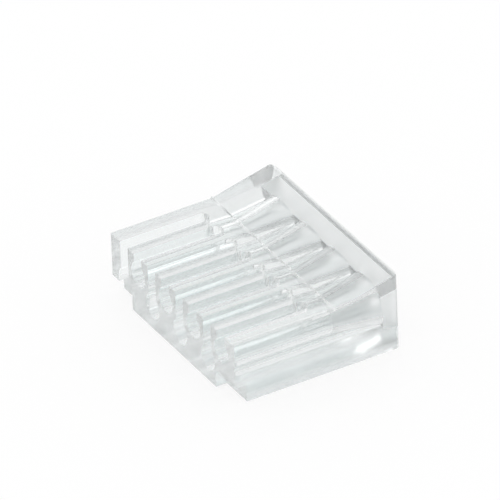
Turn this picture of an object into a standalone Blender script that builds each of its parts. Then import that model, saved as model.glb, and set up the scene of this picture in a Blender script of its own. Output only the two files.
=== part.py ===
"""Wire load bar of an eight-position modular plug, a single clear moulding.

Four high and four low round channels take the plug's wires. Slots open every channel to the
top of the comb, where the plug's contacts come down. Behind the comb the top rises as a ramp,
over a mouth in the rear face. The upper channels widen towards it as lead-ins, and the lower
ones run through it as grooves in its floor.

Metres, +Z up. The origin is the middle of the underside. The comb faces -Y.
"""
import math

import bmesh
import bpy

# Block
BLOCK_WIDTH = 0.00904
BLOCK_LENGTH = 0.00704
COMB_LENGTH = 0.00433
COMB_HEIGHT = 0.00260
REAR_HEIGHT = 0.00325
REAR_CORNER_RADIUS = 0.00025

# Keel, left between the two notches in the lower front corners
KEEL_WIDTH = 0.00614
NOTCH_DEPTH = 0.00046
NOTCH_HEIGHT = 0.00075

# Wire channels
POSITIONS = 8
PITCH = 0.001016
BORE_DIAMETER = 0.00100
LOWER_ROW_HEIGHT = 0.00099
UPPER_ROW_HEIGHT = 0.00183

# Contact slots, from the channels up through the comb
SLOT_WIDTH = 0.00056
SLOT_LENGTH = 0.00365

# Mouth across the rear face, with a roof and a floor that spread towards the rear
MOUTH_DEPTH = 0.00080
MOUTH_LEAN = 0.00016
MOUTH_SIDE_WALL = 0.00042
MOUTH_FLOOR_FRONT = 0.00095
MOUTH_FLOOR_REAR = 0.00075
MOUTH_ROOF_WALL_FRONT = 0.00075
MOUTH_ROOF_WALL_REAR = 0.00080

# Lead-ins of the upper channels, from behind the comb to the mouth's front wall
LEAD_IN_START = 0.00430
LEAD_IN_DIAMETER = 0.00170
LEAD_IN_OVERLAP = 0.00002

# Finish of the cuts
OVERSHOOT = 0.00030
BORE_SEGMENTS = 32
CORNER_SEGMENTS = 5
SAME_PLACE = 1e-7
SHARP_ANGLE = math.radians(25.0)

FRONT_Y = -BLOCK_LENGTH / 2
REAR_Y = BLOCK_LENGTH / 2
BEND_Y = FRONT_Y + COMB_LENGTH
MOUTH_Y = REAR_Y - MOUTH_DEPTH
RAMP_SLOPE = (REAR_HEIGHT - COMB_HEIGHT) / (BLOCK_LENGTH - COMB_LENGTH)


def clear_scene():
    """Remove what a new Blender file holds."""
    for item in list(bpy.data.objects):
        bpy.data.objects.remove(item, do_unlink=True)


def clear_plastic():
    """Clear moulded polycarbonate."""
    material = bpy.data.materials.new("clear_polycarbonate")
    material.use_nodes = True
    shader = material.node_tree.nodes["Principled BSDF"]
    shader.inputs["Base Color"].default_value = (0.93, 0.95, 0.95, 1.0)
    shader.inputs["Roughness"].default_value = 0.04
    shader.inputs["Metallic"].default_value = 0.0
    shader.inputs["IOR"].default_value = 1.58
    shader.inputs["Transmission Weight"].default_value = 1.0
    return material


def mesh_object(name, mesh_builder):
    """Turn a bmesh into a linked object with its faces pointing out."""
    bmesh.ops.recalc_face_normals(mesh_builder, faces=mesh_builder.faces[:])
    mesh = bpy.data.meshes.new(name)
    mesh_builder.to_mesh(mesh)
    mesh_builder.free()
    item = bpy.data.objects.new(name, mesh)
    bpy.context.collection.objects.link(item)
    return item


def add_hull(mesh_builder, points):
    """Add the convex body around some points."""
    corners = [mesh_builder.verts.new(point) for point in points]
    hull = bmesh.ops.convex_hull(mesh_builder, input=corners, use_existing_faces=False)
    inside = [item for item in hull["geom_interior"] if isinstance(item, bmesh.types.BMVert)]
    bmesh.ops.delete(mesh_builder, geom=inside, context="VERTS")


def circle(radius, segments=BORE_SEGMENTS, start=0.0, sweep=math.tau):
    """Points on an arc, as pairs; a full circle repeats no point."""
    count = segments if sweep >= math.tau else segments + 1
    return [(radius * math.cos(start + sweep * step / segments),
             radius * math.sin(start + sweep * step / segments)) for step in range(count)]


def channel_x(index):
    """Middle of a channel across the block, counted from -X."""
    return (index - (POSITIONS - 1) / 2) * PITCH


def is_upper(index):
    """Every second channel lies in the upper row."""
    return index % 2 == 1


def channel_z(index):
    """Height of a channel's axis."""
    return UPPER_ROW_HEIGHT if is_upper(index) else LOWER_ROW_HEIGHT


def ramp_z(y):
    """Height of the ramp, from the bend to the rear."""
    return COMB_HEIGHT + RAMP_SLOPE * (y - BEND_Y)


def mouth_roof_front():
    """Height of the mouth's roof at its front wall."""
    return ramp_z(MOUTH_Y) - MOUTH_ROOF_WALL_FRONT


def build_block():
    """Side profile drawn once and extruded across, with its upright rear corners rounded."""
    profile = [
        (FRONT_Y, 0.0),
        (REAR_Y, 0.0),
        (REAR_Y, REAR_HEIGHT),
        (BEND_Y, COMB_HEIGHT),
        (FRONT_Y, COMB_HEIGHT),
    ]
    builder = bmesh.new()
    left = [builder.verts.new((-BLOCK_WIDTH / 2, y, z)) for y, z in profile]
    side = builder.faces.new(left)
    grown = bmesh.ops.extrude_face_region(builder, geom=[side])
    moved = [item for item in grown["geom"] if isinstance(item, bmesh.types.BMVert)]
    bmesh.ops.translate(builder, verts=moved, vec=(BLOCK_WIDTH, 0.0, 0.0))
    rear_edges = [
        edge for edge in builder.edges
        if all(abs(corner.co.y - REAR_Y) < SAME_PLACE for corner in edge.verts)
        and abs(edge.verts[0].co.x - edge.verts[1].co.x) < SAME_PLACE
    ]
    bmesh.ops.bevel(builder, geom=rear_edges, offset=REAR_CORNER_RADIUS, offset_type="OFFSET",
                    segments=CORNER_SEGMENTS, profile=0.5, affect="EDGES")
    return mesh_object("load_bar", builder)


def notch_cutter():
    """Two boxes that clear the lower front corners beside the keel."""
    builder = bmesh.new()
    outer = BLOCK_WIDTH / 2 + OVERSHOOT
    for side in (-1, 1):
        add_hull(builder, [
            (side * x, y, z)
            for x in (KEEL_WIDTH / 2, outer)
            for y in (FRONT_Y - OVERSHOOT, FRONT_Y + NOTCH_DEPTH)
            for z in (-OVERSHOOT, NOTCH_HEIGHT)
        ])
    return mesh_object("cut_notches", builder)


def add_turned(mesh_builder, rings):
    """Add a closed body through rings of points, with a flat end at the first and the last."""
    loops = [[mesh_builder.verts.new(point) for point in ring] for ring in rings]
    for near, far in zip(loops, loops[1:]):
        for step in range(len(near)):
            following = (step + 1) % len(near)
            mesh_builder.faces.new((near[step], near[following], far[following], far[step]))
    mesh_builder.faces.new(loops[0])
    mesh_builder.faces.new(loops[-1])


def channel_ring(index, y, diameter, lean=0.0):
    """Round section of a channel; its plane may lean like the mouth's front wall."""
    middle_x = channel_x(index)
    middle_z = channel_z(index)
    return [(middle_x + x, y - lean * z, middle_z + z) for x, z in circle(diameter / 2)]


def lower_channel_cutter():
    """Straight channels from the comb's face, which run on as grooves in the mouth's floor."""
    builder = bmesh.new()
    for index in range(POSITIONS):
        if is_upper(index):
            continue
        add_turned(builder, (
            channel_ring(index, FRONT_Y - OVERSHOOT, BORE_DIAMETER),
            channel_ring(index, REAR_Y + OVERSHOOT, BORE_DIAMETER),
        ))
    return mesh_object("cut_lower_channels", builder)


def upper_channel_cutter():
    """Channels from the comb's face, which widen behind the comb up to the mouth's front wall."""
    builder = bmesh.new()
    lean = MOUTH_LEAN / (mouth_roof_front() - MOUTH_FLOOR_FRONT)
    wall_y = MOUTH_Y + lean * (mouth_roof_front() - UPPER_ROW_HEIGHT)
    for index in range(POSITIONS):
        if not is_upper(index):
            continue
        add_turned(builder, (
            channel_ring(index, FRONT_Y - OVERSHOOT, BORE_DIAMETER),
            channel_ring(index, FRONT_Y + LEAD_IN_START, BORE_DIAMETER),
            channel_ring(index, wall_y + LEAD_IN_OVERLAP, LEAD_IN_DIAMETER, lean),
        ))
    return mesh_object("cut_upper_channels", builder)


def slot_cutter():
    """Eight slots from the channels up through the comb, round at their inner ends."""
    builder = bmesh.new()
    half = SLOT_WIDTH / 2
    end = FRONT_Y + SLOT_LENGTH - half
    for index in range(POSITIONS):
        plan = [(-half, FRONT_Y - OVERSHOOT), (half, FRONT_Y - OVERSHOOT)]
        plan += [(x, end + y) for x, y in circle(half, BORE_SEGMENTS // 2, 0.0, math.pi)]
        add_hull(builder, [
            (channel_x(index) + x, y, z)
            for z in (channel_z(index), REAR_HEIGHT + OVERSHOOT)
            for x, y in plan
        ])
    return mesh_object("cut_slots", builder)


def mouth_cutter():
    """One pocket across the rear face, higher at the rear than at its leaning front wall."""
    builder = bmesh.new()
    half = BLOCK_WIDTH / 2 - MOUTH_SIDE_WALL
    roof_rear = REAR_HEIGHT - MOUTH_ROOF_WALL_REAR
    section = [
        (MOUTH_Y, mouth_roof_front()),
        (MOUTH_Y + MOUTH_LEAN, MOUTH_FLOOR_FRONT),
        (REAR_Y, MOUTH_FLOOR_REAR),
        (REAR_Y + OVERSHOOT, MOUTH_FLOOR_REAR),
        (REAR_Y + OVERSHOOT, roof_rear),
        (REAR_Y, roof_rear),
    ]
    add_hull(builder, [(x, y, z) for x in (-half, half) for y, z in section])
    return mesh_object("cut_mouth", builder)


def subtract(body, cutter):
    """Cut one tool out of the body and keep the tool as a wire guide."""
    modifier = body.modifiers.new(cutter.name, "BOOLEAN")
    modifier.operation = "DIFFERENCE"
    modifier.solver = "EXACT"
    modifier.object = cutter
    cutter.hide_render = True
    cutter.display_type = "WIRE"


def shade_round_faces(body):
    """Turn the cuts into the body's own mesh, smooth along the channels and sharp at the edges."""
    bpy.context.view_layer.update()
    finished = bpy.data.meshes.new_from_object(
        body.evaluated_get(bpy.context.evaluated_depsgraph_get()))
    finished.shade_smooth()
    finished.set_sharp_from_angle(angle=SHARP_ANGLE)
    body.modifiers.clear()
    body.data = finished


def build_load_bar():
    """The whole moulding."""
    body = build_block()
    body.data.materials.append(clear_plastic())
    for cutter in (notch_cutter(), mouth_cutter(), lower_channel_cutter(), upper_channel_cutter(),
                   slot_cutter()):
        subtract(body, cutter)
    shade_round_faces(body)
    return body


clear_scene()
build_load_bar()
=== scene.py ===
"""Looks of a clear wire load bar, the insert that holds eight wires in a modular plug.

It is a single moulding of clear polycarbonate, shown on a white ground. Metres, +Z up: the comb
with the contact slots faces -Y, the mouth for the wires opens to +Y.
"""
import math

import bmesh
import bpy
from mathutils import Matrix, Vector


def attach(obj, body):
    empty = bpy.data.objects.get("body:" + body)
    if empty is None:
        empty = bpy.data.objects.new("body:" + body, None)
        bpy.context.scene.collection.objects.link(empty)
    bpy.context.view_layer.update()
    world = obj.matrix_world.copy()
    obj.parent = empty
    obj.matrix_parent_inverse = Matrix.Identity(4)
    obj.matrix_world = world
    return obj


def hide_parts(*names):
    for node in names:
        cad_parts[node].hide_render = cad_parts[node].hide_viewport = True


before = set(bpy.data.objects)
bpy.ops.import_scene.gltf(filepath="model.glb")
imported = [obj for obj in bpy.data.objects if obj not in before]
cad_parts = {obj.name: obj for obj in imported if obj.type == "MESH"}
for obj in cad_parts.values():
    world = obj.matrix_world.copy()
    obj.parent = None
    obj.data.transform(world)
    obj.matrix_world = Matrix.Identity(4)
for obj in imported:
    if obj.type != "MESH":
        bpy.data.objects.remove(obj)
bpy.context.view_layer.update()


# Camera. A long lens stands 45 cm away, high over the bar's right front corner, and tips a little
# to the left. Its place was fitted to the corners and the slots in the photograph.
CAMERA_DIRECTION = math.radians(60.85)
CAMERA_HEIGHT_ANGLE = math.radians(33.14)
CAMERA_ROLL = math.radians(-2.23)
CAMERA_DISTANCE = 0.4523
CAMERA_TARGET = Vector((0.0, -0.00007, 0.0015))
PIXELS_PER_METRE = 27087.0
IMAGE_SIDE = 500
TARGET_PIXEL = (253.72, 285.80)
SENSOR_WIDTH = 36.0
NEAREST_SEEN = 0.001

look = Vector((
    -math.sin(CAMERA_DIRECTION) * math.cos(CAMERA_HEIGHT_ANGLE),
    math.cos(CAMERA_DIRECTION) * math.cos(CAMERA_HEIGHT_ANGLE),
    -math.sin(CAMERA_HEIGHT_ANGLE),
))
level = look.cross(Vector((0.0, 0.0, 1.0))).normalized()
upright = level.cross(look)
right = math.cos(CAMERA_ROLL) * level + math.sin(CAMERA_ROLL) * upright
up = math.cos(CAMERA_ROLL) * upright - math.sin(CAMERA_ROLL) * level
middle = IMAGE_SIDE / 2
stand = (
    CAMERA_TARGET
    - look * CAMERA_DISTANCE
    - right * (TARGET_PIXEL[0] - middle) / PIXELS_PER_METRE
    + up * (TARGET_PIXEL[1] - middle) / PIXELS_PER_METRE
)
camera_data = bpy.data.cameras.new("camera")
camera_data.sensor_width = SENSOR_WIDTH
camera_data.lens = PIXELS_PER_METRE * CAMERA_DISTANCE / IMAGE_SIDE * SENSOR_WIDTH
camera_data.clip_start = NEAREST_SEEN
camera = bpy.data.objects.new("camera", camera_data)
camera.matrix_world = Matrix.Translation(stand) @ Matrix((right, up, -look)).transposed().to_4x4()
bpy.context.scene.collection.objects.link(camera)
bpy.context.scene.camera = camera


# Load bar. One clear moulding: a comb in front, and a block behind it whose top rises as a ramp.
# It is injected into a steel mould, whose core pins leave the round channels and whose thin
# blades leave the contact slots. A wide core leaves the mouth in the rear face.
BLOCK_WIDTH = 0.00904
BLOCK_LENGTH = 0.00704
COMB_LENGTH = 0.00433
COMB_HEIGHT = 0.00260
REAR_HEIGHT = 0.00325
REAR_CORNER_RADIUS = 0.00025
REAR_EDGE_RADIUS = 0.00015
REAR_CORNER_STEPS = 10
KEEL_WIDTH = 0.00614
NOTCH_DEPTH = 0.00046
NOTCH_HEIGHT = 0.00075

MOUTH_DEPTH = 0.00080
MOUTH_LEAN = 0.00016
MOUTH_SIDE_WALL = 0.00042
MOUTH_FLOOR_FRONT = 0.00095
MOUTH_FLOOR_REAR = 0.00075
MOUTH_ROOF_WALL_FRONT = 0.00075
MOUTH_ROOF_WALL_REAR = 0.00080

POSITIONS = 8
PITCH = 0.001016
LOWER_ROW_HEIGHT = 0.00099
UPPER_ROW_HEIGHT = 0.00183
CHANNEL_DIAMETER = 0.00100
CHANNEL_STEPS = 96
LEAD_IN_START = 0.00430
LEAD_IN_DIAMETER = 0.00170
LEAD_IN_OVERLAP = 0.00002
SLOT_WIDTH = 0.00056
SLOT_LENGTH = 0.00365
SLOT_END_STEPS = 40

# Roughness that each part of the mould leaves on the plastic
POLISHED = 0.14
CORE_TEXTURE = 0.60
PIN_TEXTURE = 0.19
LEAD_IN_TEXTURE = 0.36
BLADE_TEXTURE = 0.15

# Moulded edges, and the seam between two mould inserts across the top at the bend
EDGE_RADIUS = 0.000025
EDGE_STEPS = 2
EDGE_ANGLE = math.radians(28.0)
SEAM_HEIGHT = 0.000075
SEAM_HALF_WIDTH = 0.000065
SEAM_STEPS = 12

TOOL_OVERSHOOT = 0.00030
SAME_PLACE = 1e-7

front_y = -BLOCK_LENGTH / 2
rear_y = BLOCK_LENGTH / 2
bend_y = front_y + COMB_LENGTH
mouth_y = rear_y - MOUTH_DEPTH
ramp_slope = (REAR_HEIGHT - COMB_HEIGHT) / (BLOCK_LENGTH - COMB_LENGTH)
mouth_roof_front = COMB_HEIGHT + ramp_slope * (mouth_y - bend_y) - MOUTH_ROOF_WALL_FRONT
mouth_lean = MOUTH_LEAN / (mouth_roof_front - MOUTH_FLOOR_FRONT)


def mould_object(name, builder, texture):
    """Turn a bmesh into an object whose faces leave the given roughness on the plastic."""
    bmesh.ops.recalc_face_normals(builder, faces=builder.faces[:])
    mesh = bpy.data.meshes.new(name)
    builder.to_mesh(mesh)
    builder.free()
    layer = mesh.attributes.new("mould_texture", "FLOAT", "FACE")
    layer.data.foreach_set("value", [texture] * len(mesh.polygons))
    item = bpy.data.objects.new(name, mesh)
    bpy.context.scene.collection.objects.link(item)
    return item


def add_hull(builder, points):
    """Add the convex body around some points."""
    corners = [builder.verts.new(point) for point in points]
    hull = bmesh.ops.convex_hull(builder, input=corners, use_existing_faces=False)
    inside = [item for item in hull["geom_interior"] if isinstance(item, bmesh.types.BMVert)]
    bmesh.ops.delete(builder, geom=inside, context="VERTS")


def block_of_plastic():
    """Side profile of the bar, extruded across; weights mark the rear edges to be rounded."""
    profile = [(front_y, COMB_HEIGHT), (front_y, 0.0), (rear_y, 0.0), (rear_y, REAR_HEIGHT)]
    # The seam's rounded section, from its rear to its front
    for step in range(SEAM_STEPS + 1):
        along = 1.0 - 2.0 * step / SEAM_STEPS
        y = bend_y + along * SEAM_HALF_WIDTH
        swell = SEAM_HEIGHT * (1.0 + math.cos(math.pi * along)) / 2
        profile.append((y, COMB_HEIGHT + ramp_slope * max(y - bend_y, 0.0) + swell))
    builder = bmesh.new()
    side = builder.faces.new([builder.verts.new((-BLOCK_WIDTH / 2, y, z)) for y, z in profile])
    grown = bmesh.ops.extrude_face_region(builder, geom=[side])
    moved = [item for item in grown["geom"] if isinstance(item, bmesh.types.BMVert)]
    bmesh.ops.translate(builder, verts=moved, vec=(BLOCK_WIDTH, 0.0, 0.0))
    share_of_radius = builder.edges.layers.float.new("bevel_weight_edge")
    for edge in builder.edges:
        if any(abs(corner.co.y - rear_y) > SAME_PLACE for corner in edge.verts):
            continue
        if abs(edge.verts[0].co.x - edge.verts[1].co.x) < SAME_PLACE:
            edge[share_of_radius] = 1.0
        elif all(corner.co.z > SAME_PLACE for corner in edge.verts):
            edge[share_of_radius] = REAR_EDGE_RADIUS / REAR_CORNER_RADIUS
    return mould_object("load_bar_clear", builder, POLISHED)


def notch_tool():
    """The mould's two steps that leave the notches beside the keel."""
    builder = bmesh.new()
    outer = BLOCK_WIDTH / 2 + TOOL_OVERSHOOT
    for side in (-1, 1):
        add_hull(builder, [
            (side * x, y, z)
            for x in (KEEL_WIDTH / 2, outer)
            for y in (front_y - TOOL_OVERSHOOT, front_y + NOTCH_DEPTH)
            for z in (-TOOL_OVERSHOOT, NOTCH_HEIGHT)
        ])
    return mould_object("notch tool", builder, POLISHED)


def mouth_tool():
    """The wide core that leaves the mouth; its front wall leans and its floor falls rearward."""
    builder = bmesh.new()
    half = BLOCK_WIDTH / 2 - MOUTH_SIDE_WALL
    roof_rear = REAR_HEIGHT - MOUTH_ROOF_WALL_REAR
    section = (
        (mouth_y, mouth_roof_front),
        (mouth_y + MOUTH_LEAN, MOUTH_FLOOR_FRONT),
        (rear_y, MOUTH_FLOOR_REAR),
        (rear_y + TOOL_OVERSHOOT, MOUTH_FLOOR_REAR),
        (rear_y + TOOL_OVERSHOOT, roof_rear),
        (rear_y, roof_rear),
    )
    add_hull(builder, [(x, y, z) for x in (-half, half) for y, z in section])
    return mould_object("mouth tool", builder, CORE_TEXTURE)


def core_pin(name, rings):
    """A turned pin along Y through rings of (y, diameter, lean of the ring's plane).

    From its second ring on, where it widens, the pin leaves the coarser lead-in texture.
    """
    builder = bmesh.new()
    loops = []
    for y, diameter, lean in rings:
        loop = []
        for step in range(CHANNEL_STEPS):
            turn = math.tau * step / CHANNEL_STEPS
            across = diameter / 2 * math.cos(turn)
            height = diameter / 2 * math.sin(turn)
            loop.append(builder.verts.new((across, y - lean * height, height)))
        loops.append(loop)
    for near, far in zip(loops, loops[1:]):
        for step in range(CHANNEL_STEPS):
            following = (step + 1) % CHANNEL_STEPS
            builder.faces.new((near[step], near[following], far[following], far[step]))
    builder.faces.new(loops[0])
    builder.faces.new(loops[-1])
    pin = mould_object(name, builder, PIN_TEXTURE)
    textures = pin.data.attributes["mould_texture"].data
    for face in range(CHANNEL_STEPS, CHANNEL_STEPS * (len(rings) - 1)):
        textures[face].value = LEAD_IN_TEXTURE
    return pin


def contact_blade():
    """The thin blade that leaves one contact slot, with its round inner end."""
    builder = bmesh.new()
    half = SLOT_WIDTH / 2
    end = front_y + SLOT_LENGTH - half
    plan = [(-half, front_y - TOOL_OVERSHOOT), (half, front_y - TOOL_OVERSHOOT)]
    for step in range(SLOT_END_STEPS + 1):
        turn = math.pi * step / SLOT_END_STEPS
        plan.append((half * math.cos(turn), end + half * math.sin(turn)))
    add_hull(builder, [(x, y, z) for x, y in plan for z in (0.0, REAR_HEIGHT)])
    return mould_object("contact blade", builder, BLADE_TEXTURE)


def channel_and_slot_tree():
    """Geometry Nodes: set the pins and blades out at the pitch, in two rows, and cut with them."""
    tree = bpy.data.node_groups.new("wire channels and contact slots", "GeometryNodeTree")
    sockets = (
        ("Block", "NodeSocketGeometry"),
        ("Positions", "NodeSocketInt"),
        ("Pitch", "NodeSocketFloat"),
        ("Lower Row Height", "NodeSocketFloat"),
        ("Upper Row Height", "NodeSocketFloat"),
        ("Lower Pin", "NodeSocketObject"),
        ("Upper Pin", "NodeSocketObject"),
        ("Contact Blade", "NodeSocketObject"),
        ("Plastic", "NodeSocketMaterial"),
    )
    for label, kind in sockets:
        tree.interface.new_socket(label, in_out="INPUT", socket_type=kind)
    tree.interface.new_socket("Moulding", in_out="OUTPUT", socket_type="NodeSocketGeometry")
    given = tree.nodes.new("NodeGroupInput")
    made = tree.nodes.new("NodeGroupOutput")

    def calculate(operation, first, second, third=None):
        node = tree.nodes.new("ShaderNodeMath")
        node.operation = operation
        for socket, value in zip(node.inputs, (first, second, third)):
            if isinstance(value, (int, float)):
                socket.default_value = value
            elif value is not None:
                tree.links.new(value, socket)
        return node.outputs[0]

    # The row of places, centred across the block
    gaps = calculate("SUBTRACT", given.outputs["Positions"], 1.0)
    span = calculate("MULTIPLY", gaps, given.outputs["Pitch"])
    start = tree.nodes.new("ShaderNodeCombineXYZ")
    tree.links.new(calculate("MULTIPLY", span, -0.5), start.inputs["X"])
    offset = tree.nodes.new("ShaderNodeCombineXYZ")
    tree.links.new(given.outputs["Pitch"], offset.inputs["X"])
    row = tree.nodes.new("GeometryNodeMeshLine")
    row.mode = "OFFSET"
    tree.links.new(given.outputs["Positions"], row.inputs["Count"])
    tree.links.new(start.outputs[0], row.inputs["Start Location"])
    tree.links.new(offset.outputs[0], row.inputs["Offset"])

    # Every second place lies in the upper row
    index = tree.nodes.new("GeometryNodeInputIndex")
    upper = calculate("MODULO", index.outputs[0], 2.0)
    lower = calculate("SUBTRACT", 1.0, upper)
    rise = calculate("SUBTRACT", given.outputs["Upper Row Height"], given.outputs["Lower Row Height"])
    height = tree.nodes.new("ShaderNodeCombineXYZ")
    tree.links.new(calculate("MULTIPLY_ADD", upper, rise, given.outputs["Lower Row Height"]),
                   height.inputs["Z"])
    staggered = tree.nodes.new("GeometryNodeSetPosition")
    tree.links.new(row.outputs["Mesh"], staggered.inputs["Geometry"])
    tree.links.new(height.outputs[0], staggered.inputs["Offset"])

    # One cut for each kind of tool
    body = given.outputs["Block"]
    for label, places in (("Lower Pin", lower), ("Upper Pin", upper), ("Contact Blade", None)):
        tool = tree.nodes.new("GeometryNodeObjectInfo")
        tree.links.new(given.outputs[label], tool.inputs["Object"])
        copies = tree.nodes.new("GeometryNodeInstanceOnPoints")
        tree.links.new(staggered.outputs["Geometry"], copies.inputs["Points"])
        tree.links.new(tool.outputs["Geometry"], copies.inputs["Instance"])
        if places:
            tree.links.new(places, copies.inputs["Selection"])
        cut = tree.nodes.new("GeometryNodeMeshBoolean")
        cut.operation = "DIFFERENCE"
        cut.solver = "EXACT"
        tree.links.new(body, cut.inputs["Mesh 1"])
        tree.links.new(copies.outputs["Instances"], cut.inputs["Mesh 2"])
        body = cut.outputs["Mesh"]

    smooth = tree.nodes.new("GeometryNodeSetShadeSmooth")
    tree.links.new(body, smooth.inputs["Geometry"])
    real = tree.nodes.new("GeometryNodeRealizeInstances")
    tree.links.new(smooth.outputs["Geometry"], real.inputs["Geometry"])
    finish = tree.nodes.new("GeometryNodeSetMaterial")
    tree.links.new(real.outputs["Geometry"], finish.inputs["Geometry"])
    tree.links.new(given.outputs["Plastic"], finish.inputs["Material"])
    tree.links.new(finish.outputs["Geometry"], made.inputs["Moulding"])
    return tree


PLASTIC_COLOUR = (0.96, 0.98, 0.98, 1.0)
DEPTH_COLOUR = (0.70, 0.80, 0.79, 1.0)
DEPTH_DENSITY = 15.0
PLASTIC_IOR = 1.58
SATIN_SCALE = 1800.0
SATIN_DETAIL = 3.0
SATIN_NOISE = (0.35, 0.65)
SATIN_SPREAD = (0.8, 1.2)


def clear_polycarbonate():
    """Clear polycarbonate; each face has the satin that its part of the mould left on it."""
    material = bpy.data.materials.new("clear polycarbonate")
    material.use_nodes = True
    tree = material.node_tree
    shader = tree.nodes["Principled BSDF"]
    shader.inputs["Base Color"].default_value = PLASTIC_COLOUR
    shader.inputs["IOR"].default_value = PLASTIC_IOR
    shader.inputs["Transmission Weight"].default_value = 1.0
    depth = tree.nodes.new("ShaderNodeVolumeAbsorption")
    depth.inputs["Color"].default_value = DEPTH_COLOUR
    depth.inputs["Density"].default_value = DEPTH_DENSITY
    tree.links.new(depth.outputs["Volume"], tree.nodes["Material Output"].inputs["Volume"])
    place = tree.nodes.new("ShaderNodeTexCoord")
    satin = tree.nodes.new("ShaderNodeTexNoise")
    satin.inputs["Scale"].default_value = SATIN_SCALE
    satin.inputs["Detail"].default_value = SATIN_DETAIL
    tree.links.new(place.outputs["Object"], satin.inputs["Vector"])
    spread = tree.nodes.new("ShaderNodeMapRange")
    spread.inputs["From Min"].default_value = SATIN_NOISE[0]
    spread.inputs["From Max"].default_value = SATIN_NOISE[1]
    spread.inputs["To Min"].default_value = SATIN_SPREAD[0]
    spread.inputs["To Max"].default_value = SATIN_SPREAD[1]
    tree.links.new(satin.outputs["Fac"], spread.inputs["Value"])
    texture = tree.nodes.new("ShaderNodeAttribute")
    texture.attribute_name = "mould_texture"
    rough = tree.nodes.new("ShaderNodeMath")
    rough.operation = "MULTIPLY"
    tree.links.new(texture.outputs["Fac"], rough.inputs[0])
    tree.links.new(spread.outputs["Result"], rough.inputs[1])
    tree.links.new(rough.outputs[0], shader.inputs["Roughness"])
    return material


plastic = clear_polycarbonate()
block = block_of_plastic()
tools = {
    "notches": notch_tool(),
    "mouth": mouth_tool(),
    "Lower Pin": core_pin("lower pin", (
        (front_y - TOOL_OVERSHOOT, CHANNEL_DIAMETER, 0.0),
        (rear_y + TOOL_OVERSHOOT, CHANNEL_DIAMETER, 0.0),
    )),
    "Upper Pin": core_pin("upper pin", (
        (front_y - TOOL_OVERSHOOT, CHANNEL_DIAMETER, 0.0),
        (front_y + LEAD_IN_START, CHANNEL_DIAMETER, 0.0),
        (mouth_y + mouth_lean * (mouth_roof_front - UPPER_ROW_HEIGHT) + LEAD_IN_OVERLAP,
         LEAD_IN_DIAMETER, mouth_lean),
    )),
    "Contact Blade": contact_blade(),
}
rear_rounding = block.modifiers.new("rear corners", "BEVEL")
rear_rounding.width = REAR_CORNER_RADIUS
rear_rounding.segments = REAR_CORNER_STEPS
rear_rounding.limit_method = "WEIGHT"
for label in ("notches", "mouth"):
    cut = block.modifiers.new(label, "BOOLEAN")
    cut.operation = "DIFFERENCE"
    cut.solver = "EXACT"
    cut.object = tools[label]

cuts = block.modifiers.new("channels and slots", "NODES")
cuts.node_group = channel_and_slot_tree()
settings = {
    "Positions": POSITIONS,
    "Pitch": PITCH,
    "Lower Row Height": LOWER_ROW_HEIGHT,
    "Upper Row Height": UPPER_ROW_HEIGHT,
    "Lower Pin": tools["Lower Pin"],
    "Upper Pin": tools["Upper Pin"],
    "Contact Blade": tools["Contact Blade"],
    "Plastic": plastic,
}
for socket in cuts.node_group.interface.items_tree:
    if socket.in_out == "INPUT" and socket.name in settings:
        cuts[socket.identifier] = settings[socket.name]

rounding = block.modifiers.new("moulded edges", "BEVEL")
rounding.width = EDGE_RADIUS
rounding.segments = EDGE_STEPS
rounding.limit_method = "ANGLE"
rounding.angle_limit = EDGE_ANGLE
rounding.use_clamp_overlap = True
rounding.harden_normals = True
rounding.miter_outer = "MITER_ARC"

bpy.context.view_layer.update()
moulding = bpy.data.meshes.new_from_object(
    block.evaluated_get(bpy.context.evaluated_depsgraph_get()))
block.modifiers.clear()
block.data = moulding
block.data.name = "load_bar_clear"
for tool in tools.values():
    bpy.data.objects.remove(tool, do_unlink=True)
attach(block, "root")
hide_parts("load_bar")


# Ground. A sheet of matt white card under the bar. The camera, and what the clear plastic
# reflects and lets through, see it close to plain white, with the bar's soft shadow on it.
GROUND_SIDE = 0.6
GROUND_GAP = 0.00002
GROUND_COLOUR = (0.97, 0.97, 0.97, 1.0)
GROUND_ROUGHNESS = 0.9
GROUND_WHITE_SHARE = 0.85

builder = bmesh.new()
bmesh.ops.create_grid(builder, x_segments=1, y_segments=1, size=GROUND_SIDE / 2)
bmesh.ops.translate(builder, verts=builder.verts[:], vec=(0.0, 0.0, -GROUND_GAP))
ground_mesh = bpy.data.meshes.new("ground")
builder.to_mesh(ground_mesh)
builder.free()
ground = bpy.data.objects.new("ground", ground_mesh)
bpy.context.scene.collection.objects.link(ground)
card = bpy.data.materials.new("white card")
card.use_nodes = True
card_tree = card.node_tree
card_shader = card_tree.nodes["Principled BSDF"]
card_shader.inputs["Base Color"].default_value = GROUND_COLOUR
card_shader.inputs["Roughness"].default_value = GROUND_ROUGHNESS
card_shader.inputs["Specular IOR Level"].default_value = 0.0
plain_white = card_tree.nodes.new("ShaderNodeEmission")
seen_by = card_tree.nodes.new("ShaderNodeLightPath")
seen = seen_by.outputs["Is Camera Ray"]
for kind in ("Is Glossy Ray", "Is Transmission Ray"):
    either = card_tree.nodes.new("ShaderNodeMath")
    either.operation = "MAXIMUM"
    card_tree.links.new(seen, either.inputs[0])
    card_tree.links.new(seen_by.outputs[kind], either.inputs[1])
    seen = either.outputs[0]
share = card_tree.nodes.new("ShaderNodeMath")
share.operation = "MULTIPLY"
share.inputs[1].default_value = GROUND_WHITE_SHARE
card_tree.links.new(seen, share.inputs[0])
whitened = card_tree.nodes.new("ShaderNodeMixShader")
card_tree.links.new(share.outputs[0], whitened.inputs["Fac"])
card_tree.links.new(card_shader.outputs[0], whitened.inputs[1])
card_tree.links.new(plain_white.outputs[0], whitened.inputs[2])
card_tree.links.new(whitened.outputs[0], card_tree.nodes["Material Output"].inputs["Surface"])
ground.data.materials.append(card)


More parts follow.
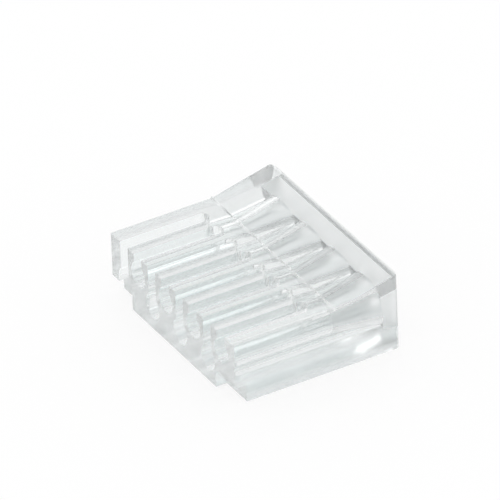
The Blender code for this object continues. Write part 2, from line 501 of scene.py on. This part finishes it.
# Light. A pale tent around the bar with a brighter band low on its wall, and a wide soft box
# low behind the bar. They draw thin bright lines along the plastic's rounded edges and the seam.
TENT_STEPS = ((0.0, 0.93), (0.08, 0.93), (0.12, 1.4), (0.40, 1.4), (0.46, 0.93), (1.0, 0.93))
SOFT_BOX_DIRECTION = Vector((-0.72, 0.63, 0.28))
SOFT_BOX_DISTANCE = 0.5
SOFT_BOX_WIDTH = 0.5
SOFT_BOX_HEIGHT = 0.2
SOFT_BOX_BRIGHTNESS = 0.35
CLEAR_WALLS_CROSSED = 48

tent = bpy.data.worlds.new("white tent")
bpy.context.scene.world = tent
tent.use_nodes = True
tent_tree = tent.node_tree
background = tent_tree.nodes["Background"]
direction = tent_tree.nodes.new("ShaderNodeTexCoord")
part_of_direction = tent_tree.nodes.new("ShaderNodeSeparateXYZ")
height_to_light = tent_tree.nodes.new("ShaderNodeValToRGB")
steps = height_to_light.color_ramp.elements
for place, light in TENT_STEPS[1:-1]:
    steps.new(place)
for step, (place, light) in zip(steps, TENT_STEPS):
    step.color = (light, light, light, 1.0)
tent_tree.links.new(direction.outputs["Generated"], part_of_direction.inputs["Vector"])
tent_tree.links.new(part_of_direction.outputs["Z"], height_to_light.inputs["Fac"])
tent_tree.links.new(height_to_light.outputs["Color"], background.inputs["Color"])

lamp_data = bpy.data.lights.new("soft box", "AREA")
lamp_data.shape = "RECTANGLE"
lamp_data.size = SOFT_BOX_WIDTH
lamp_data.size_y = SOFT_BOX_HEIGHT
lamp_data.energy = SOFT_BOX_BRIGHTNESS * math.pi * SOFT_BOX_WIDTH * SOFT_BOX_HEIGHT
lamp = bpy.data.objects.new("soft box", lamp_data)
lamp_place = SOFT_BOX_DIRECTION.normalized() * SOFT_BOX_DISTANCE
lamp_turn = lamp_place.to_track_quat("Z", "Y")
lamp.matrix_world = Matrix.Translation(lamp_place) @ lamp_turn.to_matrix().to_4x4()
bpy.context.scene.collection.objects.link(lamp)

bpy.context.scene.cycles.max_bounces = CLEAR_WALLS_CROSSED
bpy.context.scene.cycles.transmission_bounces = CLEAR_WALLS_CROSSED
bpy.context.scene.cycles.glossy_bounces = CLEAR_WALLS_CROSSED
bpy.context.scene.view_settings.view_transform = "Standard"
